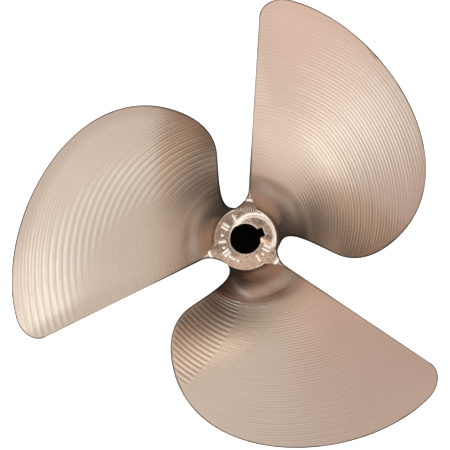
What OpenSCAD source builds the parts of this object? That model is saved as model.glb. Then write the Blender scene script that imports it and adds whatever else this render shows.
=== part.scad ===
// Three-blade inboard boat propeller in bronze, right-hand rotation.
// The shaft axis is Z. The forward hub face is at Z = 0 and the aft face is up, at Z = hub_len.
// The hub and the blades are separate solids that meet at the blade roots.

/* [Propeller] */
// Radius at the blade tips
tip_r = 165.1; // [155:0.1:175]
// Pitch: advance along the shaft in one turn
pitch = 292.1; // [275:0.1:300]
// Rake: lean of the blades towards the aft end, in degrees
rake = 7; // [5:0.5:10]
// Angle of the first blade's trailing edge from +X, in degrees
first_edge = 86.3; // [0:0.1:119]

/* [Hub] */
// Length of the hub
hub_len = 76.2; // [72:0.1:80]
// Hub radius at the forward face
hub_fwd_r = 23; // [22.5:0.1:24.5]
// Hub radius at the aft face
hub_aft_r = 21.5; // [21:0.1:22.3]
// Chamfer round both hub faces
hub_chamfer = 0.8; // [0.4:0.1:1.5]

/* [Bore] */
// Diameter of the taper bore at the forward face, its large end
bore_d = 25.4; // [24:0.1:27]
// Taper of the bore on its diameter, one in this many
taper_ratio = 16; // [12:0.5:20]
// Chamfer where the bore breaks out of both hub faces
bore_chamfer = 0.5; // [0.2:0.1:1]
// Width of the keyway
key_w = 6.35; // [5:0.05:8]
// Depth of the keyway beyond the bore wall
key_depth = 3.2; // [2.5:0.1:4]
// Angle of the keyway from +X, in degrees
key_angle = 21.5; // [0:0.5:360]

/* [Blade] */
// Thickness at the root, before the fillets
root_t = 11; // [9:0.5:13]
// Thickness at the tip
tip_t = 2; // [1.6:0.1:3]
// Thickness of the rounded edges
edge_t = 1.3; // [1:0.1:1.6]
// Radius of the fillets between the blade faces and the hub
root_fillet = 19; // [14:0.5:22]
// Radius of the flare where the trailing edge runs into the hub
edge_flare = 12; // [9:0.5:14]
// Height of the cup, the curl towards aft along the trailing edge
cup_h = 1.2; // [0:0.1:2]
// Width of the cup
cup_w = 14; // [8:1:20]
// Radius within which the blade roots are machined flush with the aft face
facing_r = 26.5; // [24:0.5:28]
// Height that the roots keep above the aft face outside that radius
root_step = 0.8; // [0.2:0.1:1.5]

/* [Hidden] */
bronze = [0.78, 0.66, 0.56];
hub_bronze = [0.72, 0.55, 0.45];
blade_turn = 360 / 3;
overcut = 5;
round_fn = 120;

// Leading edge seen from aft, as three cubic Bezier spans that share their end points.
// X runs square to the trailing edge and Y along it, for a tip radius of 165.1 mm.
edge_scale = tip_r / 165.1;
leading_edge = edge_scale * [
    [21.5, -4], [25, 11], [46, -0.3],
    [64, -7.2], [88, -16.4], [108.5, 7],
    [115.5, 20.5], [144, 75.5], [81, 154.5],
    [19.5, 164]
];
// Radius where the round corner between the trailing edge and the tip starts.
corner_r = 151 * edge_scale;
// Height of the driving face at the trailing edge, where it meets the hub.
root_edge_z = hub_len - 0.7;
// Lowest height of the driving face.
lowest_z = 2;
// Radii between which the cup grows to its full height.
cup_start_r = 50;
cup_full_r = 110;
// A fillet stops at this share of its radius, so that it doesn't end in a feather edge.
fillet_end = 0.985;
// Radius where the blade no longer follows the taper of the hub.
hub_fade_r = 40;
// Clearance that keeps the flat facets of a root out of the hub's curve.
root_gap = 0.04;
// Sections from root to tip, and points across each face of a section.
rows = 36;
face_cols = 18;

function clip(x, top = 1) = max(0, min(top, x));
function ease(x) = pow(clip(x), 2) * (3 - 2 * clip(x));
// A quarter circle: 0 at x = 0, and 1 from x = 1 on.
function quarter(x) = sqrt(1 - pow(1 - clip(x), 2));
// Rise of a fillet of radius f at a distance x in from where it starts.
function fillet_rise(x, f) = f * (1 - sqrt(1 - pow(clip(x / f, fillet_end), 2)));

function bezier(p, t) =
    pow(1 - t, 3) * p[0] + 3 * pow(1 - t, 2) * t * p[1]
    + 3 * (1 - t) * t * t * p[2] + pow(t, 3) * p[3];
function span_points(k) = [for (i = [0:3]) leading_edge[3 * k + i]];
function edge_point(s) = let (k = min(floor(s), 2)) bezier(span_points(k), s - k);
// Place along the leading edge, from 0 to 3, at radius r, found by halving.
function edge_place(r, lo = 0, hi = 3, halvings = 24) =
    let (mid = (lo + hi) / 2)
    halvings == 0 ? mid
        : norm(edge_point(mid)) < r ? edge_place(r, mid, hi, halvings - 1)
        : edge_place(r, lo, mid, halvings - 1);

// A sweep is an angle from the trailing edge line, clockwise seen from aft, in degrees.
function sweep_of(p) = atan2(p[0], p[1]);
tip_sweep = sweep_of(leading_edge[9]);
function leading_sweep(r) = sweep_of(edge_point(edge_place(r)));
function flare_sweep(r) = fillet_rise(hub_aft_r + edge_flare - r, edge_flare) / r * 180 / PI;
function corner_sweep(r) =
    tip_sweep * (1 - sqrt(1 - pow(clip((r - corner_r) / (tip_r - corner_r)), 2)));
function trailing_sweep(r) = corner_sweep(r) - flare_sweep(r);

// Height of the driving face without its fillet: a helix with the rake and the cup.
// The flare, where the sweep is below 0, keeps the height of the trailing edge.
// Where the leading edge flares into the hub, it stays above the forward face.
function cup(r, gap) =
    cup_h * ease((r - cup_start_r) / (cup_full_r - cup_start_r)) * pow(1 - clip(gap / cup_w), 2);
function helix_z(r, sweep, gap) =
    let (raked = root_edge_z + (r - hub_aft_r) * tan(rake))
    max(lowest_z, raked - max(sweep, 0) / 360 * pitch + cup(r, gap));

// How much longer a thickness is when it is measured along the axis.
function axial(r) = sqrt(1 + pow(pitch / (2 * PI * r), 2));
function thickness(r) =
    tip_t + (root_t - tip_t) * pow(1 - clip((r - hub_aft_r) / (tip_r - hub_aft_r)), 1.4);

// The two faces close round the rim in a half circle, and their fillets fade out at it.
function edge_half(r) = edge_t / 2 * axial(r);
function rim_round(r, rim) = quarter(rim * axial(r) / (edge_t / 2));
function root_rise(r, rim) =
    let (rise = fillet_rise(hub_aft_r + root_fillet - r, root_fillet))
    rise * quarter(rim / max(edge_t, 0.6 * rise));
// The roots are faced off flush with both ends of the hub.
function aft_limit(r) = hub_len + root_step * ease(r - facing_r + 0.5);
function face_z(r, z, rim) =
    let (face = z - edge_half(r) * (1 - rim_round(r, rim)))
    r < facing_r ? min(face + root_rise(r, rim), aft_limit(r))
        : max(face, min(face + root_rise(r, rim), aft_limit(r)));
function back_z(r, z, rim, share) =
    max(0, z - edge_half(r) * (1 + rim_round(r, rim)) - root_rise(r, rim)
        - (thickness(r) - edge_t) * axial(r) * pow(4 * share * (1 - share), 0.8));

// Near the hub the sections follow its cone.
function hub_spread(r, z) =
    (hub_fwd_r - hub_aft_r) * (1 - z / hub_len) * clip((hub_fade_r - r) / (hub_fade_r - hub_aft_r));
function placed(r, sweep, z) =
    let (out = r + hub_spread(r, z))
    [out * cos(sweep), -out * sin(sweep), z];

// Shares of the chord where a section has points, close together at both edges.
function chord_shares(chord) =
    let (e = min(edge_t / 2 / chord, 0.125))
    concat(
        [0, e / 4, e],
        [for (i = [1:face_cols - 1]) e + (1 - 2 * e) * i / face_cols],
        [1 - e, 1 - e / 4, 1]
    );

// One section: along the driving face from trailing to leading edge, then back.
function section(r) =
    let (
        trail = trailing_sweep(r),
        lead = leading_sweep(r),
        chord = (lead - trail) * PI / 180 * r,
        shares = chord_shares(chord),
        last = len(shares) - 1
    )
    [for (i = [0:2 * last - 1])
        let (
            share = shares[i <= last ? i : 2 * last - i],
            sweep = trail + (lead - trail) * share,
            gap = share * chord,
            rim = min(gap, chord - gap, tip_r - r),
            z = helix_z(r, sweep, gap)
        )
        placed(r, sweep, i <= last ? face_z(r, z, rim) : back_z(r, z, rim, share))
    ];

// The whole blade as one skin over its sections, which crowd together towards both ends.
module blade_solid() {
    root_r = hub_aft_r + root_gap;
    sections = [
        for (i = [0:rows - 1])
            let (x = i / rows, along = ease(x) + 0.15 * (x - ease(x)) * (1 - x))
            section(root_r + (tip_r - root_r) * along)
    ];
    n = len(sections[0]);
    half = n / 2;
    tip_z = helix_z(tip_r, tip_sweep, 0) - edge_half(tip_r);
    function id(k, i) = k * n + i % n;
    skin = [
        for (k = [0:rows - 2], i = [0:n - 1])
            each [
                [id(k, i), id(k, i + 1), id(k + 1, i + 1)],
                [id(k, i), id(k + 1, i + 1), id(k + 1, i)]
            ]
    ];
    tip_fan = [for (i = [0:n - 1]) [id(rows - 1, i), id(rows - 1, i + 1), id(rows, 0)]];
    root_strip = [
        for (i = [0:half - 1])
            each i == 0 ? [[0, n - 1, 1]]
                : i == half - 1 ? [[i, n - i, i + 1]]
                : [[i, n - i, n - i - 1], [i, n - i - 1, i + 1]]
    ];
    polyhedron(
        [for (s = sections) each s, placed(tip_r, tip_sweep, tip_z)],
        concat(skin, tip_fan, root_strip)
    );
}

// Tapered bore with its chamfers, as one turned shape.
module bore() {
    fwd_r = bore_d / 2;
    aft_r = fwd_r - hub_len / taper_ratio / 2;
    rotate_extrude($fn = round_fn)
        polygon([
            [0, -overcut],
            [fwd_r + bore_chamfer + overcut, -overcut],
            [fwd_r, bore_chamfer],
            [aft_r, hub_len - bore_chamfer],
            [aft_r + bore_chamfer + overcut, hub_len + overcut],
            [0, hub_len + overcut]
        ]);
}

// Keyway whose floor follows the taper.
module keyway() {
    floor_r = bore_d / 2 + key_depth;
    rotate([0, 0, key_angle])
        translate([floor_r, 0, 0])
            rotate([0, -atan(1 / taper_ratio / 2), 0])
                translate([-floor_r, -key_w / 2, -overcut])
                    cube([floor_r, key_w, hub_len + 2 * overcut]);
}

module hub() {
    color(hub_bronze)
        difference() {
            rotate_extrude($fn = round_fn)
                polygon([
                    [0, 0],
                    [hub_fwd_r - hub_chamfer, 0],
                    [hub_fwd_r, hub_chamfer],
                    [hub_aft_r, hub_len - hub_chamfer],
                    [hub_aft_r - hub_chamfer, hub_len],
                    [0, hub_len]
                ]);
            bore();
            keyway();
        }
}

module blade(index) {
    color(bronze)
        rotate([0, 0, first_edge + blade_turn * index])
            blade_solid();
}

hub();
blade(0);  // blade_1
blade(1);  // blade_2
blade(2);  // blade_3
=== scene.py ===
"""Three-blade bronze boat propeller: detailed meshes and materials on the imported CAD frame.

Shapes are worked out in millimetres, as in the part's own source, and go into the meshes in metres.
The shaft axis is Z, the forward hub face is at z = 0 and the aft face looks up at the camera.
"""

import math

import bpy
import numpy as np
from mathutils import Matrix, Vector, kdtree


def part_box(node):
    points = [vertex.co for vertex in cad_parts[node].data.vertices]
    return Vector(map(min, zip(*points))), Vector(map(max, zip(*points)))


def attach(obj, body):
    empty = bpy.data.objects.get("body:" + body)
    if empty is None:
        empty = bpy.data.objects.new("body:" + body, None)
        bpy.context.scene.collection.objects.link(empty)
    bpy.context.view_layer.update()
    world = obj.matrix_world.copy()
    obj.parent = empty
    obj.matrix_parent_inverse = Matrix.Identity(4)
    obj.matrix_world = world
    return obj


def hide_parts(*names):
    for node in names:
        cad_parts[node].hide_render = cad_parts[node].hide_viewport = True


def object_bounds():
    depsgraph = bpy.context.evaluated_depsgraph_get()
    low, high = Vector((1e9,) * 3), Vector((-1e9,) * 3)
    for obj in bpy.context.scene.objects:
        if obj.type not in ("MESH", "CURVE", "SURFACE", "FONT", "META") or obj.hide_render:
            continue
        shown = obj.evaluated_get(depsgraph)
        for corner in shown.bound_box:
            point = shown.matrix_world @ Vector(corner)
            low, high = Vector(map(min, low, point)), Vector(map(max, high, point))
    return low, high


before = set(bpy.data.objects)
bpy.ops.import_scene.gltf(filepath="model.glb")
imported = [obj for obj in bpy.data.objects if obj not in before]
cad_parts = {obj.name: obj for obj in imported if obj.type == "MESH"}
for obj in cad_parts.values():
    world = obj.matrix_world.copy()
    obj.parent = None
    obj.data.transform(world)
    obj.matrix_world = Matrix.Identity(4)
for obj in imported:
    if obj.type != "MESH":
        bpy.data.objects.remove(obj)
cad_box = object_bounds()

MM = 0.001
RAD = math.pi / 180

# ---------------------------------------------------------------- sizes, in millimetres
HUB_LOW, HUB_HIGH = (Vector(c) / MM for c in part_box("hub"))
HUB_LEN = HUB_HIGH.z - HUB_LOW.z
HUB_FWD_R = HUB_HIGH.x
HUB_AFT_R = 21.5
HUB_EDGE = 0.8
BORE_FWD_R = 12.7
# The bore's radius gets smaller by this much per millimetre, which is 1 in 16 on its diameter.
BORE_TAPER = 1 / 32
BORE_EDGE = 0.5
KEY_W = 6.35
KEY_DEPTH = 3.2
KEY_ANGLE = 21.5 * RAD

TIP_R = 165.1
PITCH = 292.1
RAKE = 7 * RAD
FIRST_EDGE = 86.3 * RAD
BLADE_TURN = 120 * RAD
ROOT_T = 11.0
TIP_T = 2.0
EDGE_T = 1.3
ROOT_FILLET = 19.0
EDGE_FLARE = 12.0
FILLET_END = 0.985
CUP_H = 1.2
CUP_W = 14.0
CUP_START_R = 50
CUP_GROWTH = 60
FACING_R = 26.5
ROOT_STEP = 0.8
ROOT_EDGE_DROP = 0.7
ROOT_GAP = 0.04
CORNER_R = 151.0
HUB_FADE_R = 40.0
LOWEST_Z = 2.0

# Leading edge from aft, as three Bezier spans: X square to the trailing edge, Y along it.
LEADING_EDGE = np.array([
    (21.5, -4), (25, 11), (46, -0.3),
    (64, -7.2), (88, -16.4), (108.5, 7),
    (115.5, 20.5), (144, 75.5), (81, 154.5),
    (19.5, 164),
], float)


# ---------------------------------------------------------------- blade shape
def clip(x, top=1.0):
    return np.clip(x, 0.0, top)


def ease(x):
    x = clip(x)
    return x * x * (3 - 2 * x)


def quarter(x):
    return np.sqrt(1 - (1 - clip(x)) ** 2)


def fillet_rise(x, radius):
    return radius * (1 - np.sqrt(1 - clip(x / radius, FILLET_END) ** 2))


def bezier(p, t):
    t = t[:, None]
    return (1 - t) ** 3 * p[0] + 3 * (1 - t) ** 2 * t * p[1] + 3 * (1 - t) * t * t * p[2] + t**3 * p[3]


def edge_curve(per_span=900):
    """The leading edge as radius and sweep, where sweep is clockwise from the trailing edge line."""
    t = np.linspace(0, 1, per_span)
    xy = np.vstack([bezier(LEADING_EDGE[3 * k : 3 * k + 4], t)[k > 0 :] for k in range(3)])
    return np.hypot(xy[:, 0], xy[:, 1]), np.arctan2(xy[:, 0], xy[:, 1])


LEAD_R, LEAD_SWEEP = edge_curve()
TIP_SWEEP = LEAD_SWEEP[-1]


def trailing_sweep(r):
    corner = TIP_SWEEP * (1 - np.sqrt(1 - clip((r - CORNER_R) / (TIP_R - CORNER_R)) ** 2))
    return corner - fillet_rise(HUB_AFT_R + EDGE_FLARE - r, EDGE_FLARE) / r


def helix_z(r, sweep, gap):
    cup = CUP_H * ease((r - CUP_START_R) / CUP_GROWTH) * (1 - clip(gap / CUP_W)) ** 2
    raked = HUB_LEN - ROOT_EDGE_DROP + (r - HUB_AFT_R) * math.tan(RAKE)
    return np.maximum(LOWEST_Z, raked - np.maximum(sweep, 0) / (2 * math.pi) * PITCH + cup)


def axial(r):
    """How much longer a thickness is when it is measured along the axis."""
    return np.sqrt(1 + (PITCH / (2 * math.pi * r)) ** 2)


def thickness(r):
    return TIP_T + (ROOT_T - TIP_T) * (1 - clip((r - HUB_AFT_R) / (TIP_R - HUB_AFT_R))) ** 1.4


def faced_height(r):
    """Height that the root is machined down to: the aft face, and a step up outside FACING_R."""
    slope = 0.3 * ROOT_STEP * clip((r - FACING_R + 0.9) / 1.8)
    return HUB_LEN + slope + 0.7 * ROOT_STEP * ease((r - FACING_R - 0.9) / 0.7)


def blade_heights(r, sweep, gap, share, rim):
    """Heights of the driving face and of the back, without the milling."""
    z = helix_z(r, sweep, gap)
    half = EDGE_T / 2 * axial(r)
    round_off = quarter(rim * axial(r) / (EDGE_T / 2))
    rise = fillet_rise(HUB_AFT_R + ROOT_FILLET - r, ROOT_FILLET)
    rise = rise * quarter(rim / np.maximum(EDGE_T, 0.6 * rise))
    face = z - half * (1 - round_off)
    filled = np.minimum(face + rise, faced_height(r))
    face = np.where(r < FACING_R, filled, np.maximum(face, filled))
    body = (thickness(r) - EDGE_T) * axial(r) * (4 * share * (1 - share)) ** 0.8
    back = np.maximum(0, z - half * (1 + round_off) - rise - body)
    return face, back


def blade_outline():
    """Up the trailing edge, over the tip and down the leading edge, as radius and sweep."""
    round_corner = 1 - np.sin(np.linspace(0, math.pi / 2, 500)[1:])
    corner_r = TIP_R - (TIP_R - CORNER_R) * round_corner
    trail_r = np.concatenate([np.linspace(HUB_AFT_R, CORNER_R, 1500), corner_r])
    trail = np.column_stack([trail_r, trailing_sweep(trail_r)])
    lead = np.column_stack([LEAD_R, LEAD_SWEEP])
    lead = lead[lead[:, 0] > HUB_AFT_R]
    lead = np.vstack([(HUB_AFT_R, lead[0, 1]), lead])
    return np.vstack([trail, lead[::-1][1:]])


# ---------------------------------------------------------------- milling and stripes
# The place of the first pass, the sweep where the lean of the passes changes, and the length
# over which the lean grows from the first pass outwards.
FIRST_PASS = 30
LEAN_TURN = 32 * RAD
LEAN_GROWTH = 40


class Passes:
    """The milling passes of one blade: where they run and how they mark its surface.

    step and ridge are the distance between passes and the height of the ridges between them.
    alternate is how much deeper every second pass is, as a share of the ridge. lean is how far
    the passes lean inwards along the sweep, per radian, before and after LEAN_TURN.
    """

    def __init__(self, step, ridge, alternate, lean, seed):
        rng = np.random.default_rng(seed)
        self.ridge, self.lean = ridge, lean
        count = int(200 / step)
        widths = step * (1 + 0.02 * rng.standard_normal(count))
        self.bounds = FIRST_PASS + np.cumsum(widths)
        odd = np.arange(count) % 2
        self.drop = ridge * (alternate * odd + 0.15 * rng.standard_normal(count))
        self.waves = [
            (rng.uniform(20, 60), rng.uniform(0, 6.28), rng.uniform(-0.5, 0.5)) for _ in range(5)
        ]

    def inward(self, sweep):
        """How far a pass has moved inwards at this sweep, as a share of its radius."""
        early = self.lean[0] * np.minimum(sweep, LEAN_TURN)
        return early + self.lean[1] * np.maximum(0, sweep - LEAN_TURN)

    def radius(self, s, sweep):
        return s * (1 - ease((s - FIRST_PASS) / LEAN_GROWTH) * self.inward(np.maximum(sweep, 0)))

    def place(self, r, sweep):
        """The s whose pass goes through this point, by a few rounds of correction."""
        s = r.copy()
        for _ in range(12):
            s += r - self.radius(s, sweep)
        return s

    def marks(self, s):
        """Height above the nominal surface: a shallow trough per pass, with sharp ridges between."""
        i = np.clip(np.searchsorted(self.bounds, s), 1, len(self.bounds) - 1)
        low, high = self.bounds[i - 1], self.bounds[i]
        across = 2 * (s - low) / (high - low) - 1
        # A pass that sits lower is wider at the surface, so its height is blended in from its edges.
        return self.ridge * (across**2 - 1 / 3) - self.drop[i] * (1 - across**2)

    def phase(self, s):
        """The number of the pass, with the share of its width that has gone by."""
        return np.interp(s, self.bounds, np.arange(len(self.bounds)))

    def form(self, x, s):
        """Slow waviness of the surface, a few hundredths of a millimetre."""
        return sum(0.01 * np.sin(2 * math.pi * (s + k * x) / wave + phase) for wave, phase, k in self.waves)


# The functions below paint highlights and shade on the passes of one blade each. They return the
# painted highlight (above 0) or painted shade (below 0) at each point, and where the passes reach right up
# to the leading edge.
def wedge_light_and_shade(phase, s, r, sweep):
    """Painted shade on the ridges between the passes and a painted highlight in their middles, in a wedge
    that gets wider and brighter outwards.
    """
    degrees = sweep / RAD
    wedge = ease((degrees - 30) / 8) * ease((43 + 0.27 * (r - 55) - degrees) / 11) * ease((r - 48) / 22)
    brighter = 0.45 * ease((r - 88) / 35) - 0.2
    return 0.42 * wedge * (brighter - np.cos(2 * math.pi * phase)), 0 * s


def band_light_and_shade(phase, s, r, sweep):
    """A painted highlight on every second pass and a little painted shade on the others, in a band that
    slants across the blade.
    """
    alternation = np.cos(math.pi * phase)
    degrees = sweep / RAD
    band = ease((r - 125 + 1.2 * degrees) / 14) * ease((170 - 1.05 * degrees - r) / 16)
    return band * (0.7 * clip(alternation) ** 1.5 - 0.2 * clip(-alternation)), 0 * s


def edge_light_and_shade(phase, s, r, sweep):
    """A painted highlight on every second pass from a slanting line to the leading edge, fading into painted
    shade towards that edge, painted shade on the ridges between the passes in the middle of the blade, and a
    painted highlight streak on the fillet."""
    alternation = np.cos(math.pi * phase)
    degrees = sweep / RAD
    past = sweep - (59 + (r - 40) * 0.26) * RAD
    beside = ease(past / (2.5 * RAD)) * ease((s - 46) / 4) * ease((152 - s) / 12)
    fade = ease(past / (20 * RAD))
    streak = ease(1 - np.abs(degrees - 56 - 2.2 * (40 - r)) / 9) * ease((r - 25) / 4) * ease((44 - r) / 5)
    middle = ease((degrees - 17) / 8) * ease((44 - degrees) / 12) * ease((s - 46) / 4) * ease((122 - r) / 30)
    lines = -0.30 * middle * (0.1 + np.cos(2 * math.pi * phase))
    return (alternation * (1 - 0.4 * fade) - 0.75 * fade) * beside + 0.25 * streak + lines, beside


# Each blade's own look. The lengths are in millimetres.
#   smooth: how far in from the outer edge it is ground smooth, and shade: how much painted shade lies on
#       that border
#   highlight_and_shade: the painted highlights and shade on its passes, and fade: the distance in which they
#       start at an edge
#   deep: how much higher the points with the brightest painted highlight stand
#   root_shade: how much painted shade lies in the crease at the root, and the place where that ends
#   fine_ridge: how much painted shade lies on the ridges of the finer passes on the fillets
#   fine_step: the height of the step where they end
LOOKS = {
    "blade_1": dict(
        milling=dict(step=2.35, ridge=0.070, alternate=0.0, lean=(0.0, 0.16), seed=3),
        smooth=6.0, shade=0.10, highlight_and_shade=wedge_light_and_shade, fade=7.0, deep=0.0,
        root_shade=(0.5, 49), fine_ridge=0.55, fine_step=0.10,
    ),
    "blade_2": dict(
        milling=dict(step=2.45, ridge=0.060, alternate=0.3, lean=(0.11, 0.11), seed=5),
        smooth=12.0, shade=0.30, highlight_and_shade=band_light_and_shade, fade=3.0, deep=0.0,
        root_shade=(0.6, 49), fine_ridge=0.15, fine_step=0.02,
    ),
    "blade_3": dict(
        milling=dict(step=2.30, ridge=0.060, alternate=0.5, lean=(0.24, 0.12), seed=8),
        smooth=6.0, shade=0.0, highlight_and_shade=edge_light_and_shade, fade=3.0, deep=0.05,
        root_shade=(1.0, 56), fine_ridge=0.3, fine_step=0.10,
    ),
}
# The place where the finer passes on the fillets end, and their width.
FINE_END = 45.0
FINE_PITCH = 1.4


# ---------------------------------------------------------------- blade mesh
# Distances from an edge where the outer columns run, the largest share of the chord that they
# may take up, and the number of columns between them.
EDGE_OFFSETS = np.array([0, 0.06, 0.18, 0.38, 0.7, 1.2])
EDGE_SHARE = 0.18
INNER_COLS = 68
# Places where the rows get further apart or closer together, and the height of the crown.
ROOT_ROWS_END, FILLET_ROWS_END, CROWN = 28, 44, 4


def row_places(top):
    """Where the rows of a blade mesh run: fine at the root, even over the milling, fine at the tip."""
    root = np.arange(HUB_AFT_R + ROOT_GAP, ROOT_ROWS_END, 0.2)
    fillet = np.arange(ROOT_ROWS_END, FILLET_ROWS_END, 0.45)
    milled = np.arange(FILLET_ROWS_END, top - CROWN, 0.3)
    crown = top - CROWN * (1 - np.sin(np.linspace(0, math.pi / 2, 18, endpoint=False)))
    return np.concatenate([root, fillet, milled, crown])


def blade_rows(passes, outline):
    """The place of each row, the sweeps where it meets both edges, and the outline's last point."""
    place = passes.place(outline[:, 0], outline[:, 1])
    apex = int(place.argmax())
    up_s = np.maximum.accumulate(place[: apex + 1])
    down_s = np.maximum.accumulate(place[apex:][::-1])
    s = row_places(place[apex])
    sweep_a = np.interp(s, up_s, outline[: apex + 1, 1])
    sweep_b = np.interp(s, down_s, outline[apex:, 1][::-1])
    return s, sweep_a, sweep_b, outline[apex]


def column_shares(s, sweep_a, sweep_b):
    """Shares of the chord where a row has points: close together at both edges, and wider where
    the row crosses the outline at a slant."""
    chord = (sweep_b - sweep_a) * s
    widest = np.linspace(0, EDGE_SHARE, len(EDGE_OFFSETS))

    def beside(sweep):
        slant = np.hypot(1, np.gradient(sweep * s, s))
        return np.minimum(EDGE_OFFSETS * slant[:, None] / chord[:, None], widest)

    near = beside(sweep_a)
    far = 1 - beside(sweep_b)[:, ::-1]
    steps = np.arange(1, INNER_COLS + 1)
    inner = near[:, -1:] + (far[:, :1] - near[:, -1:]) * steps / (INNER_COLS + 1)
    return np.hstack([near, inner, far])


def rim_distance(outline, r, sweep):
    """Distance of each point from the outline, in plan."""
    tree = kdtree.KDTree(len(outline))
    for i, (edge_r, edge_sweep) in enumerate(outline):
        tree.insert((edge_r * math.cos(edge_sweep), edge_r * math.sin(edge_sweep), 0), i)
    tree.balance()
    plan = np.stack([r * np.cos(sweep), r * np.sin(sweep)], -1).reshape(-1, 2)
    rim = np.array([tree.find((x, y, 0))[2] for x, y in plan]).reshape(r.shape)
    rim[:, 0] = 0
    rim[:, -1] = 0
    return rim


class Grid:
    """The points of one blade: rows run along the milling passes, columns from edge to edge.

    s is the place of a row. share is how far along the chord a point is, along is its length
    along the row, gap its distance from the trailing edge, and rim that from the outline.
    """

    def __init__(self, passes):
        outline = blade_outline()
        s, sweep_a, sweep_b, self.apex = blade_rows(passes, outline)
        self.share = column_shares(s, sweep_a, sweep_b)
        self.s = np.repeat(s[:, None], self.share.shape[1], 1)
        self.sweep = sweep_a[:, None] + (sweep_b - sweep_a)[:, None] * self.share
        self.r = passes.radius(self.s, self.sweep)
        self.along = self.sweep * self.r
        self.rim = rim_distance(outline, self.r, self.sweep)
        past_edge = self.sweep - trailing_sweep(np.minimum(self.r, CORNER_R))
        self.gap = np.maximum(0, past_edge) * self.r


def painted_highlight_and_shade(look, passes, grid):
    """The blade's painted highlights and shade along its passes, which fade out at its edges, and where they
    reach the leading edge.
    """
    painted_light_and_shade, beside = look["highlight_and_shade"](passes.phase(grid.s), grid.s, grid.r, grid.sweep)
    # Painted shade on the ground smooth border near the outer edge.
    ground = (1 - ease((grid.rim - 3) / 9)) * ease(grid.gap / 25) * ease((grid.r - 60) / 20)
    return painted_light_and_shade * ease((grid.rim - 0.6) / look["fade"]) - look["shade"] * ground, beside


def relief(look, passes, grid, painted_light_and_shade, beside):
    """Height of the milling above the plain surface."""
    margin = 2.5 + (look["smooth"] - 2.5) * ease(grid.gap / 25) * (1 - beside)
    milled = ease((grid.s - FINE_END) / 3) * ease((grid.rim - 0.5) / margin)
    marks = (passes.marks(grid.s) + passes.form(grid.along, grid.s)) * axial(grid.r) * milled
    inside = 1 - ease((grid.s - FINE_END) / 0.7 + 0.5)
    fine_zone = inside * ease((grid.r - FACING_R - 2) / 3) * ease(grid.rim / 3)
    fine_zone = fine_zone * ease((grid.along - 6) / 8) * ease((44 - grid.along) / 12)
    return marks + look["deep"] * painted_light_and_shade - look["fine_step"] * fine_zone


def placed(index, grid, z):
    """Points of one blade at these heights. Near the hub the rows follow its cone."""
    spread = (HUB_FWD_R - HUB_AFT_R) * clip((HUB_FADE_R - grid.r) / (HUB_FADE_R - HUB_AFT_R))
    out = grid.r + spread * (1 - z / HUB_LEN)
    angle = FIRST_EDGE + BLADE_TURN * index - grid.sweep
    return np.stack([out * np.cos(angle), out * np.sin(angle), z], -1)


def apex_point(index, r, sweep):
    z = float(helix_z(r, sweep, 0.0)) - EDGE_T / 2 * float(axial(r))
    angle = FIRST_EDGE + BLADE_TURN * index - sweep
    return (r * math.cos(angle), r * math.sin(angle), z)


def around(face, back):
    """Rings of values: along the face and back along the back, which share both edge points."""
    return np.concatenate([face, back[:, -2:0:-1]], axis=1)


def ring_faces(n, first, second):
    """Quads between two rings of n points, given the index of each ring's first point."""
    i = np.arange(n)
    nxt = (i + 1) % n
    return np.column_stack([first + i, second + i, second + nxt, first + nxt]).tolist()


def blade_faces(count, n):
    """The skin over all rings, a fan at the tip, and the end against the hub."""
    skin = [quad for k in range(count - 1) for quad in ring_faces(n, k * n, (k + 1) * n)]
    last = (count - 1) * n
    fan = [[last + p, count * n, last + (p + 1) % n] for p in range(n)]
    m = n // 2
    end = [[p, p + 1, n - p - 1, (n - p) % n] for p in range(1, m - 1)]
    return skin + fan + end + [[0, 1, n - 1], [m - 1, m, m + 1]]


def blade_mesh(name, index):
    """One blade as a closed mesh, with what its material needs to know about each point."""
    look = LOOKS[name]
    passes = Passes(**look["milling"])
    grid = Grid(passes)
    painted_light_and_shade, beside = painted_highlight_and_shade(look, passes, grid)
    marks = relief(look, passes, grid, painted_light_and_shade, beside)
    face, back = blade_heights(grid.r, grid.sweep, grid.gap, grid.share, grid.rim)
    face = face + marks
    back = back + marks * (back > 0.5)

    rings = around(placed(index, grid, face), placed(index, grid, back))
    points = np.vstack([rings.reshape(-1, 3), apex_point(index, *grid.apex)])
    mesh = bpy.data.meshes.new(name + "_milled")
    mesh.from_pydata((points * MM).tolist(), [], blade_faces(rings.shape[0], rings.shape[1]))
    mesh.validate()
    paint_blade(mesh, look, passes, grid, painted_light_and_shade, face)
    return mesh


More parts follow.
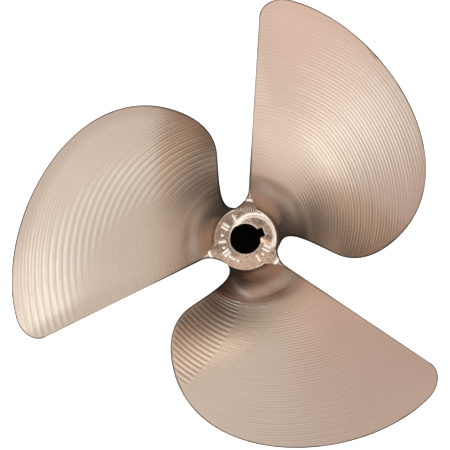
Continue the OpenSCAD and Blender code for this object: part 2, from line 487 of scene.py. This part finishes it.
def paint_blade(mesh, look, passes, grid, painted_light_and_shade, face_z):
    """Attributes for the material, with a value for every ring and then one for the apex."""
    none = np.zeros_like(grid.r)

    def paint(name, face, back, apex=0.0):
        add_attribute(mesh, name, "FLOAT", np.append(around(face, back), apex))

    s = around(grid.s, grid.s).ravel()
    along = around(grid.along, grid.along).ravel()
    milling = np.column_stack([along * MM, s * MM, passes.phase(s)])
    add_attribute(mesh, "milling", "FLOAT_VECTOR", np.vstack([milling, (0, 0, 0)]))

    # Painted shade in the crease at the root, where the blade meets the hub.
    root_shade, root_shade_end = look["root_shade"]
    root = root_shade * (1 - ease((grid.s - root_shade_end) / 9 + 1))
    # Painted shade on the ridges of the finer passes.
    fine = look["fine_ridge"] * (1 - ease((grid.s - FINE_END + 2) / 3))
    paint("root", root, root)
    paint("fine", fine, fine)
    # Painted highlights and shade of the passes, on the driving face only.
    paint("painted_light_and_shade", painted_light_and_shade, none)

    faced = (face_z > HUB_LEN - 0.05) & (grid.r < FACING_R + 0.2)
    paint("faced", faced.astype(float), none)
    # A painted highlight on the step at the end of the faced lobes.
    step = ease((grid.r - FACING_R + 1.0) / 0.4) * ease((FACING_R + 1.2 - grid.r) / 0.4)
    paint("glint", (face_z > HUB_LEN - 0.3) * step, none)

    # Painted shade on the rounded edges, half as strong along the outer part of the trailing edge.
    edge = 1 - ease((grid.rim - 0.5) / 0.7 * (1 - 0.4 * ease((70 - grid.r) / 30)))
    trailing = (grid.gap < 4) * (grid.r < CORNER_R)
    edge = edge * (1 - 0.5 * ease((grid.r - 55) / 30) * trailing)
    paint("edge", edge, edge, 1.0)


def add_attribute(mesh, name, kind, values):
    data = mesh.attributes.new(name, kind, "POINT").data
    data.foreach_set("vector" if kind == "FLOAT_VECTOR" else "value", np.asarray(values, "f").ravel())


# ---------------------------------------------------------------- hub shape
HUB_ANGLES = 720


def bore_outline(bore_r, angle):
    """Radius of the bore with its keyway, at each angle, for a bore of this radius."""
    turn = angle - KEY_ANGLE
    turn = np.arctan2(np.sin(turn), np.cos(turn))
    ahead = np.abs(turn) < 40 * RAD
    side = KEY_W / 2 / np.maximum(np.abs(np.sin(turn)), 1e-6)
    floor = (bore_r + KEY_DEPTH) / np.maximum(np.cos(turn), 0.1)
    return np.where(ahead, np.maximum(bore_r, np.minimum(side, floor)), bore_r)


# Marks punched in the aft face: angle, shape, and sideways shift in millimetres. They are
# plain bars, dashes and dots.
PUNCHES = [
    (118, "bar", 0), (149, "bar", -1.2), (149, "bar", 1.2), (172, "dot", 0), (188, "bar", 0),
    (203, "dot", 0), (217, "bar", -1.1), (217, "bar", 1.1), (235, "dash", 0), (252, "dot", 0),
    (304, "bar", 0), (319, "dot", 0), (336, "bar", -1.2), (336, "bar", 1.2),
]
PUNCH_R = 15.9
PUNCH_LENGTH = 4.6
PUNCH_WIDTH = 0.7
PUNCH_DEPTH = 0.12
DOT_LENGTH = 0.25
# Spot face round the bore, off centre: centre, radius, depth, and its rounded lip.
SPOT_X, SPOT_Y, SPOT_R, SPOT_DEPTH = 6.0, 1.7, 14.4, 0.3
LIP_HEIGHT, LIP_WIDTH = 0.27, 1.1
LIP_MIDDLE, LIP_REACH = 85 * RAD, 112 * RAD
# Tool strokes near the hub's edge: radius, angle from one to the next, and the height in Y
# over which the row of them fades in.
STROKES_R = 19.7
STROKES_TURN = 4.2 * RAD
STROKES_Y = (17.6, 18.6)


def punch_marks(x, y):
    """Height of the punch marks, and the painted highlight at their edges."""
    h, glint = np.zeros_like(x), np.zeros_like(x)
    for angle, shape, shift in PUNCHES:
        a = angle * RAD
        dx, dy = x - PUNCH_R * math.cos(a), y - PUNCH_R * math.sin(a)
        out, side = dx * math.cos(a) + dy * math.sin(a), dy * math.cos(a) - dx * math.sin(a) - shift
        if shape == "dash":
            out, side = side, out
        reach = DOT_LENGTH if shape == "dot" else PUNCH_LENGTH / 2 - PUNCH_WIDTH / 2
        d = np.hypot(np.maximum(0, np.abs(out) - reach), side)
        h -= PUNCH_DEPTH * (1 - ease(d / PUNCH_WIDTH + 0.1))
        h += 0.03 * np.exp(-(((d - PUNCH_WIDTH) / 0.3) ** 2))
        glint += 1 - ease((d - PUNCH_WIDTH) / 0.3)
    return h, glint


def face_marks(x, y):
    """Height of the worked aft face, and its painted highlights: at the lip and the marks."""
    dx, dy = x - SPOT_X, y - SPOT_Y
    d = np.hypot(dx, dy)
    inside = 1 - ease((d - SPOT_R) / 0.8 + 0.5)
    turn = np.arctan2(dy, dx) - LIP_MIDDLE
    turn = np.abs(np.arctan2(np.sin(turn), np.cos(turn)))
    lip = 1 - ease((turn - LIP_REACH) / 0.5 + 0.5)
    bead = lip * np.exp(-(((d - SPOT_R) / LIP_WIDTH) ** 2))
    punched, glint = punch_marks(x, y)
    h = punched - SPOT_DEPTH * inside * lip + LIP_HEIGHT * bead
    h += 0.010 * np.sin(np.hypot(x, y) * 2 * math.pi / 0.9) * (1 - inside)
    h += 0.008 * np.sin(d * 2 * math.pi / 0.8) * inside
    return h, clip(glint + np.sqrt(bead))


# How far the blade roots are flush with the aft face on both sides of a trailing edge, in
# degrees. The hub has no rounded edge there.
FLUSH_BEFORE, FLUSH_AFTER = 18, 25
SHARP_EDGE = 0.02
# The side of the hub where the painted highlight on its rounded edge is brightest.
GLINT_SIDE = 35 * RAD


def rounded_edge(angle):
    """Radius of the aft edge at each angle: full size, and next to nothing at the flush roots."""
    past = (angle - FIRST_EDGE + FLUSH_BEFORE * RAD) % BLADE_TURN / RAD
    flush = ease(past / 3) * ease((FLUSH_BEFORE + FLUSH_AFTER - past) / 3)
    return SHARP_EDGE + (HUB_EDGE - SHARP_EDGE) * (1 - flush)


def hub_mesh():
    """The hub as a closed tube of rings: aft face, outer wall, forward face and bore."""
    angle = np.arange(HUB_ANGLES) / HUB_ANGLES * 2 * math.pi
    edge = rounded_edge(angle)
    out_r = HUB_AFT_R - edge
    rings, glint_rings = [], []

    def ring(r, z, glint=0.0):
        rings.append(np.stack([r * np.cos(angle), r * np.sin(angle), np.broadcast_to(z, angle.shape)], -1))
        glint_rings.append(np.broadcast_to(glint, angle.shape))

    inner = bore_outline(BORE_FWD_R - HUB_LEN * BORE_TAPER + BORE_EDGE, angle)
    for t in np.linspace(0, 1, 52):
        r = inner + (out_r - inner) * t
        fade = ease((1 - t) / 0.06)
        height, glint = face_marks(r * np.cos(angle), r * np.sin(angle))
        # The face carries the painted highlights from face_marks, and the bore's rim a painted highlight of
        # its own.
        ring(r, HUB_LEN + height * fade, np.maximum(glint, 1 - ease(t / 0.1)))
    # A painted highlight on the rounded edge, brightest on one side and gone at the flush roots.
    bright_side = 0.15 + 0.85 * ease((np.cos(angle - GLINT_SIDE) + 0.3) / 0.5)
    edge_glint = clip(edge / HUB_EDGE) * bright_side
    for a in np.linspace(0, math.pi / 2, 7)[1:]:
        ring(out_r + edge * math.sin(a), HUB_LEN - edge * (1 - math.cos(a)), edge_glint)
    for z in np.linspace(HUB_LEN - HUB_EDGE, HUB_EDGE, 26):
        ring(HUB_AFT_R + (HUB_FWD_R - HUB_AFT_R) * (1 - z / HUB_LEN), z)
    for a in np.linspace(0, math.pi / 2, 6):
        ring(HUB_FWD_R - HUB_EDGE * (1 - math.cos(a)), HUB_EDGE * (1 - math.sin(a)))
    inner = bore_outline(BORE_FWD_R + BORE_EDGE, angle)
    for t in np.linspace(0, 1, 8)[1:]:
        ring(HUB_FWD_R - HUB_EDGE + (inner - HUB_FWD_R + HUB_EDGE) * t, 0.0)
    for z in np.linspace(BORE_EDGE, HUB_LEN - BORE_EDGE, 12):
        ring(bore_outline(BORE_FWD_R - z * BORE_TAPER, angle), z)

    n, count = HUB_ANGLES, len(rings)
    faces = [quad for k in range(count) for quad in ring_faces(n, k * n, (k + 1) % count * n)]
    mesh = bpy.data.meshes.new("hub_machined")
    mesh.from_pydata((np.vstack(rings) * MM).tolist(), [], faces)
    mesh.validate()
    add_attribute(mesh, "glint", "FLOAT", np.concatenate(glint_rings))
    return mesh


# ---------------------------------------------------------------- materials
class Nodes:
    """Short ways to add and join shader nodes."""

    def __init__(self, tree):
        self.tree = tree

    def add(self, kind, **values):
        node = self.tree.nodes.new(kind)
        for key, value in values.items():
            if hasattr(node, key):
                setattr(node, key, value)
            else:
                self.put(node.inputs[key], value)
        return node

    def put(self, socket, value):
        if isinstance(value, bpy.types.NodeSocket):
            self.tree.links.new(value, socket)
        else:
            socket.default_value = value

    def attribute(self, name, output="Fac"):
        return self.add("ShaderNodeAttribute", attribute_name=name).outputs[output]

    def parts(self, vector):
        return self.add("ShaderNodeSeparateXYZ", Vector=vector).outputs

    def math(self, operation, a, b=0.0):
        node = self.add("ShaderNodeMath", operation=operation)
        self.put(node.inputs[0], a)
        self.put(node.inputs[1], b)
        return node.outputs[0]

    def times(self, a, b):
        return self.math("MULTIPLY", a, b)

    def off_middle(self, value):
        """Distance of the value's fraction from a half: 0.5 at whole numbers, 0 between them."""
        return self.math("ABSOLUTE", self.math("SUBTRACT", self.math("FRACT", value), 0.5))

    def away(self, value, target):
        return self.math("ABSOLUTE", self.math("SUBTRACT", value, target))

    def vector_math(self, operation, a, b=(0.0, 0.0, 0.0), output=0):
        node = self.add("ShaderNodeVectorMath", operation=operation)
        self.put(node.inputs[0], a)
        self.put(node.inputs[1], b)
        return node.outputs[output]

    def noise(self, vector, scale, detail=3.0, roughness=0.5):
        node = self.add("ShaderNodeTexNoise", Vector=vector, Scale=scale, Detail=detail, Roughness=roughness)
        return node.outputs["Fac"]

    def span(self, value, low, high, to_low=0.0, to_high=1.0):
        node = self.add("ShaderNodeMapRange", Value=value)
        self.put(node.inputs["From Min"], low)
        self.put(node.inputs["From Max"], high)
        self.put(node.inputs["To Min"], to_low)
        self.put(node.inputs["To Max"], to_high)
        return node.outputs["Result"]

    def mix(self, factor, a, b):
        node = self.add("ShaderNodeMix", data_type="RGBA")
        self.put(node.inputs["Factor"], factor)
        self.put(node.inputs[6], a)
        self.put(node.inputs[7], b)
        return node.outputs[2]


def new_material(name):
    material = bpy.data.materials.new(name)
    material.use_nodes = True
    tree = material.node_tree
    shader = tree.nodes["Principled BSDF"]
    shader.inputs["Metallic"].default_value = 1.0
    return material, Nodes(tree), shader


def rgba(r, g, b):
    return (r, g, b, 1.0)


BRONZE_WARM = rgba(0.775, 0.628, 0.522)
BRONZE_PALE = rgba(0.795, 0.660, 0.553)
BRONZE_BROWN = rgba(0.69, 0.52, 0.415)
BRONZE_DARK = rgba(0.31, 0.165, 0.105)
RIDGE_DARK = rgba(0.12, 0.065, 0.04)
EDGE_DARK = rgba(0.05, 0.042, 0.05)
COPPER = rgba(0.56, 0.37, 0.28)
COPPER_WARM = rgba(0.90, 0.60, 0.42)
COPPER_PALE = rgba(0.95, 0.74, 0.60)
COPPER_DARK = rgba(0.36, 0.235, 0.18)
LOBE_DARK = rgba(0.30, 0.185, 0.14)
BRIGHT = rgba(0.98, 0.90, 0.80)


def turned_tone(nodes, place):
    """Colour of the faced end of the hub and of the roots beside it: mottled copper, with painted glints in
    pale patches.
    """
    cloud = nodes.noise(place, 190.0, 5.0, 0.65)
    glint = nodes.noise(place, 420.0, 4.0, 0.7)
    parts = nodes.parts(place)
    # Towards the bottom and the right side the copper is warmer; towards the bottom it is also lighter, with
    # more painted glints.
    low = nodes.span(parts["Y"], -0.006, -0.014)
    warm = nodes.math("MAXIMUM", low, nodes.span(parts["X"], -0.004, 0.014))
    copper = nodes.mix(warm, COPPER, COPPER_WARM)
    cloud = nodes.math("ADD", cloud, nodes.times(low, 0.12))
    glint = nodes.math("ADD", glint, nodes.times(low, 0.07))
    tone = nodes.mix(nodes.span(cloud, 0.36, 0.60), COPPER_DARK, copper)
    return nodes.mix(nodes.span(glint, 0.52, 0.66), tone, COPPER_PALE)


def turned_height(nodes, place):
    """Uneven surface of the faced parts, which scatters the light: its noises and its height."""
    cloud = nodes.noise(place, 160.0, 5.0, 0.65)
    grain = nodes.noise(place, 1800.0, 3.0, 0.6)
    return cloud, grain, nodes.math("ADD", cloud, nodes.times(grain, 0.4))


def add_bump(nodes, shader, height):
    bump = nodes.add("ShaderNodeBump", Strength=0.5, Distance=0.00017, Height=height)
    nodes.put(shader.inputs["Normal"], bump.outputs["Normal"])


def milled_tone(nodes, place, parts, streak):
    """Bronze in two tones, with painted shade on the ridges between the passes and in the crease at the
    root.
    """
    cloud = nodes.noise(place, 22.0, 4.0, 0.6)
    tone = nodes.mix(nodes.span(cloud, 0.35, 0.65), BRONZE_WARM, BRONZE_PALE)
    tone = nodes.mix(nodes.span(streak, 0.3, 0.75, 0.0, 0.2), tone, BRONZE_BROWN)
    # Painted shade on the ridges between the passes, outside the fillets.
    ridge = nodes.span(nodes.off_middle(parts["Z"]), 0.22, 0.5)
    ridge = nodes.times(ridge, nodes.span(parts["Y"], 0.044, 0.052))
    tone = nodes.mix(nodes.times(ridge, 0.45), tone, BRONZE_BROWN)
    # The painted shade at the root is light beside the trailing edge and strong further along the row.
    inner = nodes.span(parts["X"], 0.0, 0.02, 0.1, 0.95)
    return nodes.mix(nodes.times(nodes.attribute("root"), inner), tone, BRONZE_DARK)


def fillet_tone(nodes, parts, tone):
    """Painted shade on the ridges of the finer passes on the fillets round the hub, and a painted shadow
    line at the step where they end on one blade.
    """
    ridge = nodes.span(nodes.off_middle(nodes.math("DIVIDE", parts["Y"], FINE_PITCH * MM)), 0.1, 0.5)
    tone = nodes.mix(nodes.times(ridge, nodes.attribute("fine")), tone, RIDGE_DARK)
    line = nodes.span(nodes.away(parts["Y"], FINE_END * MM), 0.0010, 0.0004)
    line = nodes.times(line, nodes.span(parts["X"], 0.008, 0.018))
    line = nodes.times(line, nodes.span(parts["X"], 0.040, 0.030))
    depth = nodes.span(nodes.attribute("root"), 0.6, 0.9, 0.0, 0.6)
    return nodes.mix(nodes.times(line, depth), tone, RIDGE_DARK)


def handled_tone(nodes, place, tone):
    """The painted highlights and shade of the passes, then the faced lobes with painted shade on the upper
    ones, a painted highlight on the step at their end, and painted shade at the edges.
    """
    painted_light_and_shade = nodes.attribute("painted_light_and_shade")
    tone = nodes.mix(nodes.span(painted_light_and_shade, 0.0, 1.0, 0.0, 0.85), tone, BRIGHT)
    tone = nodes.mix(nodes.span(painted_light_and_shade, 0.0, -1.0, 0.0, 0.65), tone, BRONZE_DARK)
    # Painted shade on the faced lobes higher up in Y.
    upper = nodes.span(nodes.parts(place)["Y"], 0.010, 0.018, 0.0, 0.75)
    faced = nodes.mix(upper, turned_tone(nodes, place), LOBE_DARK)
    tone = nodes.mix(nodes.attribute("faced"), tone, faced)
    tone = nodes.mix(nodes.attribute("glint"), tone, BRIGHT)
    patchy = nodes.span(nodes.noise(place, 35.0, 2.0), 0.35, 0.6, 0.55, 1.0)
    return nodes.mix(nodes.times(nodes.attribute("edge"), patchy), tone, EDGE_DARK)


def blade_material():
    material, nodes, shader = new_material("milled_bronze")
    place = nodes.add("ShaderNodeTexCoord").outputs["Object"]
    milling = nodes.attribute("milling", "Vector")
    parts = nodes.parts(milling)
    streak = nodes.noise(nodes.vector_math("MULTIPLY", milling, (45.0, 420.0, 0.0)), 1.0, 3.0, 0.6)
    fine = nodes.noise(nodes.vector_math("MULTIPLY", milling, (300.0, 5000.0, 0.0)), 1.0, 2.0, 0.5)
    tone = fillet_tone(nodes, parts, milled_tone(nodes, place, parts, streak))
    nodes.put(shader.inputs["Base Color"], handled_tone(nodes, place, tone))
    rough = nodes.span(streak, 0.3, 0.7, 0.20, 0.28)
    rough = nodes.math("ADD", rough, nodes.span(fine, 0.3, 0.7, -0.03, 0.03))
    nodes.put(shader.inputs["Roughness"], rough)
    uneven = nodes.times(turned_height(nodes, place)[2], nodes.attribute("faced"))
    add_bump(nodes, shader, nodes.math("ADD", nodes.times(fine, 0.09), uneven))
    return material


def tool_strokes(nodes, place):
    """Short bright strokes in a row just inside the hub's edge, and the dark ground they are on."""
    parts = nodes.parts(place)
    flat = nodes.add("ShaderNodeCombineXYZ", X=parts["X"], Y=parts["Y"]).outputs[0]
    reach = nodes.vector_math("LENGTH", flat, output="Value")
    turn = nodes.math("DIVIDE", nodes.math("ARCTAN2", parts["Y"], parts["X"]), STROKES_TURN)
    ground = nodes.span(nodes.away(reach, STROKES_R * MM), 0.0015, 0.0010)
    ground = nodes.times(ground, nodes.span(parts["Y"], STROKES_Y[0] * MM, STROKES_Y[1] * MM))
    return nodes.times(nodes.span(nodes.off_middle(turn), 0.24, 0.14), ground), ground


def hub_material():
    material, nodes, shader = new_material("turned_bronze")
    place = nodes.add("ShaderNodeTexCoord").outputs["Object"]
    cloud, grain, height = turned_height(nodes, place)
    # Painted highlights at the lip, the marks, the bore's rim and the rounded edge, broken up by the cloud
    # noise.
    glint = nodes.times(nodes.attribute("glint"), nodes.span(cloud, 0.25, 0.4, 0.6, 1.0))
    strokes, ground = tool_strokes(nodes, place)
    tone = nodes.mix(nodes.times(ground, 0.8), turned_tone(nodes, place), LOBE_DARK)
    nodes.put(shader.inputs["Base Color"], nodes.mix(nodes.math("MAXIMUM", glint, strokes), tone, BRIGHT))
    nodes.put(shader.inputs["Roughness"], nodes.span(grain, 0.3, 0.7, 0.16, 0.30))
    add_bump(nodes, shader, height)
    return material


# ---------------------------------------------------------------- pieces
SMOOTH_ANGLE = 38 * RAD


def add_piece(name, mesh, material, node):
    mesh.materials.append(material)
    mesh.shade_smooth()
    mesh.set_sharp_from_angle(angle=SMOOTH_ANGLE)
    piece = bpy.data.objects.new(name, mesh)
    bpy.context.scene.collection.objects.link(piece)
    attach(piece, "root")
    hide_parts(node)


blade_bronze = blade_material()
for index, name in enumerate(LOOKS):
    add_piece(name + "_milled", blade_mesh(name, index), blade_bronze, name)
add_piece("hub_machined", hub_mesh(), hub_material(), "hub")


# ---------------------------------------------------------------- camera, floor and table
# The camera looks down the shaft axis from aft, a little to one side of it.
CAMERA_AT = Vector((36.8, 4.2, 1676.2)) * MM
LOOK_AT = Vector((-13.9, 9.4, 76.2)) * MM
VIEW_WIDTH = 307.8 * MM
SENSOR = 36.0


def add_camera():
    data = bpy.data.cameras.new("camera")
    camera = bpy.data.objects.new("camera", data)
    bpy.context.scene.collection.objects.link(camera)
    back = (CAMERA_AT - LOOK_AT).normalized()
    right = Vector((0, 1, 0)).cross(back).normalized()
    up = back.cross(right)
    turn = Matrix((right, up, back)).transposed().to_4x4()
    camera.matrix_world = Matrix.Translation(CAMERA_AT) @ turn
    data.sensor_width = SENSOR
    data.lens = SENSOR * (CAMERA_AT - LOOK_AT).length / VIEW_WIDTH
    data.clip_start, data.clip_end = 0.05, 20
    bpy.context.scene.camera = camera


def floor_material():
    """White and lit from within, as a light table, except for a black disc of painted shade under the hub
    that stands on it.
    """
    material, nodes, shader = new_material("pale_floor")
    place = nodes.add("ShaderNodeTexCoord").outputs["Object"]
    reach = nodes.vector_math("LENGTH", place, output="Value")
    # The floor glows outside the hub's radius; inside it a black disc is painted as the shade under the hub.
    lit = nodes.math("GREATER_THAN", reach, HUB_FWD_R * MM)
    shader.inputs["Metallic"].default_value = 0.0
    shader.inputs["Roughness"].default_value = 0.9
    shader.inputs["Emission Color"].default_value = rgba(1, 1, 1)
    nodes.put(shader.inputs["Base Color"], nodes.mix(lit, rgba(0.02, 0.02, 0.02), rgba(0.85, 0.85, 0.85)))
    nodes.put(shader.inputs["Emission Strength"], lit)
    return material


def open_side(nodes, place):
    """1 towards the open side of each gap between the blades, 0 under the blades' leading edges."""
    parts = nodes.parts(place)
    azimuth = nodes.math("ARCTAN2", parts["Y"], parts["X"])
    wave = nodes.math("COSINE", nodes.math("SUBTRACT", nodes.times(azimuth, 3.0), 270 * RAD))
    return nodes.span(wave, -1.0, 1.0)


# A painted pool of light in the table's glow, its brightest part, under the open side of one blade.
BRIGHT_PATCH = Vector((-0.205, -0.085, 0))
TABLE_LIGHT = rgba(1.0, 0.99, 0.93)
PATCH_LIGHT = rgba(0.84, 1.0, 1.1)


def table_material():
    """A glowing table with the propeller's shade painted into its glow: dark at the hub and under each
    blade, with a painted pool of light.
    """
    material, nodes, shader = new_material("pale_table")
    place = nodes.add("ShaderNodeTexCoord").outputs["Object"]
    reach = nodes.vector_math("LENGTH", place, output="Value")
    # Painted shade: the glow is dark at the hub, rises outwards and falls off far out.
    lit = nodes.math("POWER", nodes.span(reach, 0.04, 0.25), 2.0)
    lit = nodes.times(lit, nodes.span(reach, 0.26, 0.36, 1.0, 0.3))
    # Painted shade under each blade.
    level = nodes.span(open_side(nodes, place), 0.12, 0.8, 0.12, 1.05)
    patch = nodes.span(nodes.vector_math("DISTANCE", place, BRIGHT_PATCH, "Value"), 0.13, 0.05, 0.0, 1.25)
    shader.inputs["Metallic"].default_value = 0.0
    shader.inputs["Base Color"].default_value = rgba(0.1, 0.1, 0.1)
    nodes.put(shader.inputs["Emission Color"], nodes.mix(patch, TABLE_LIGHT, PATCH_LIGHT))
    nodes.put(shader.inputs["Emission Strength"], nodes.math("ADD", nodes.times(level, lit), patch))
    return material


def add_level(name, half, drop, material):
    mesh = bpy.data.meshes.new(name)
    corners = [(-half, -half, 0), (half, -half, 0), (half, half, 0), (-half, half, 0)]
    mesh.from_pydata(corners, [], [(0, 1, 2, 3)])
    mesh.materials.append(material)
    level = bpy.data.objects.new(name, mesh)
    level.location.z = cad_box[0][2] - drop
    bpy.context.scene.collection.objects.link(level)
    return level


def add_floor():
    """The floor that the camera sees, and the table below it that the bronze reflects."""
    floor = add_level("floor", 4.0, 0.0002, floor_material())
    floor.visible_glossy = False
    floor.visible_diffuse = False
    floor.visible_shadow = False
    table = add_level("table", 0.45, 0.0004, table_material())
    table.visible_camera = False


# ---------------------------------------------------------------- light
SOFTBOX_FAR = 2.2
KEY = (0.86, 1.0, 1.04)
PANEL = (1.04, 1.0, 1.0)
# Light from the studio's walls at each height: the sine of the elevation, and the colour.
WALLS = [
    (-0.6, (0.025, 0.017, 0.013)),
    (-0.17, (0.20, 0.150, 0.118)),
    (0.05, (0.57, 0.485, 0.41)),
    (0.35, (0.74, 0.72, 0.69)),
    (0.90, (0.79, 0.79, 0.78)),
    (0.955, (1.8, 1.8, 1.75)),
    (0.98, (1.8, 1.8, 1.75)),
    (0.99, (0.17, 0.16, 0.15)),
]
SHADE = rgba(0.085, 0.053, 0.036)
PINK_WALL = rgba(1.17, 1.0, 0.985)


def direction(azimuth, elevation):
    a, e = azimuth * RAD, elevation * RAD
    return Vector((math.cos(e) * math.cos(a), math.cos(e) * math.sin(a), math.sin(e)))


DIM_WALL = direction(240, 55)
PINK_SIDE = direction(238, 35)
PINK_CEILING = direction(335, 58)


def add_softbox(name, azimuth, elevation, width, height, radiance, colour, roll=0):
    """A softbox that looks at the hub from far off. Its direction and its size are in degrees."""
    data = bpy.data.lights.new(name, "AREA")
    data.shape = "RECTANGLE"
    data.size = 2 * SOFTBOX_FAR * math.tan(width / 2 * RAD)
    data.size_y = 2 * SOFTBOX_FAR * math.tan(height / 2 * RAD)
    data.energy = radiance * math.pi * data.size * data.size_y
    data.color = colour
    light = bpy.data.objects.new(name, data)
    way = direction(azimuth, elevation)
    right = Vector((0, 0, 1)).cross(way).normalized()
    turn = Matrix((right, way.cross(right), way)).transposed().to_4x4()
    light.matrix_world = Matrix.Translation(way * SOFTBOX_FAR) @ turn @ Matrix.Rotation(roll * RAD, 4, "Z")
    bpy.context.scene.collection.objects.link(light)


def wall_ramp(nodes, way, height):
    """Colour of the walls at this height, with a pink tint on one side and on part of the ceiling."""
    ramp = nodes.add("ShaderNodeValToRGB")
    nodes.put(ramp.inputs["Fac"], nodes.span(height, -1.0, 1.0))
    stops = ramp.color_ramp.elements
    while len(stops) < len(WALLS):
        stops.new(0.5)
    for stop, (sine, colour) in zip(stops, WALLS):
        stop.position = (sine + 1) / 2
        stop.color = rgba(*colour)
    side = nodes.span(nodes.vector_math("DOT_PRODUCT", way, PINK_SIDE, "Value"), 0.74, 0.88)
    ceiling = nodes.span(nodes.vector_math("DOT_PRODUCT", way, PINK_CEILING, "Value"), 0.92, 0.98)
    tint = nodes.mix(nodes.math("MAXIMUM", side, ceiling), rgba(1, 1, 1), PINK_WALL)
    return nodes.vector_math("MULTIPLY", ramp.outputs["Color"], tint)


def add_world():
    """A plain studio: pale walls and ceiling, darker low down and towards one side."""
    world = bpy.data.worlds.new("studio")
    world.use_nodes = True
    nodes = Nodes(world.node_tree)
    background = world.node_tree.nodes["Background"]
    way = nodes.add("ShaderNodeTexCoord").outputs["Generated"]
    height = nodes.parts(way)["Z"]
    low = nodes.span(height, 0.12, 0.42, 0.9, 0.0)
    shade = nodes.times(low, nodes.math("SUBTRACT", 1.0, open_side(nodes, way)))
    nodes.put(background.inputs["Color"], nodes.mix(shade, wall_ramp(nodes, way, height), SHADE))
    dim = nodes.vector_math("DOT_PRODUCT", way, DIM_WALL, "Value")
    nodes.put(background.inputs["Strength"], nodes.span(dim, 0.68, 0.92, 1.0, 0.68))
    bpy.context.scene.world = world


add_camera()
add_floor()
add_world()
add_softbox("key_softbox", -52, 41, 17, 28, 0.62, KEY, roll=5)
add_softbox("key_panel", -33, 16, 58, 44, 0.22, PANEL, roll=4)
add_softbox("strip_light", 68, 47, 52, 7, 0.28, KEY, roll=28)
add_softbox("top_softbox", 107, 58, 14, 14, 0.7, KEY)
bpy.context.scene.view_settings.view_transform = "Standard"
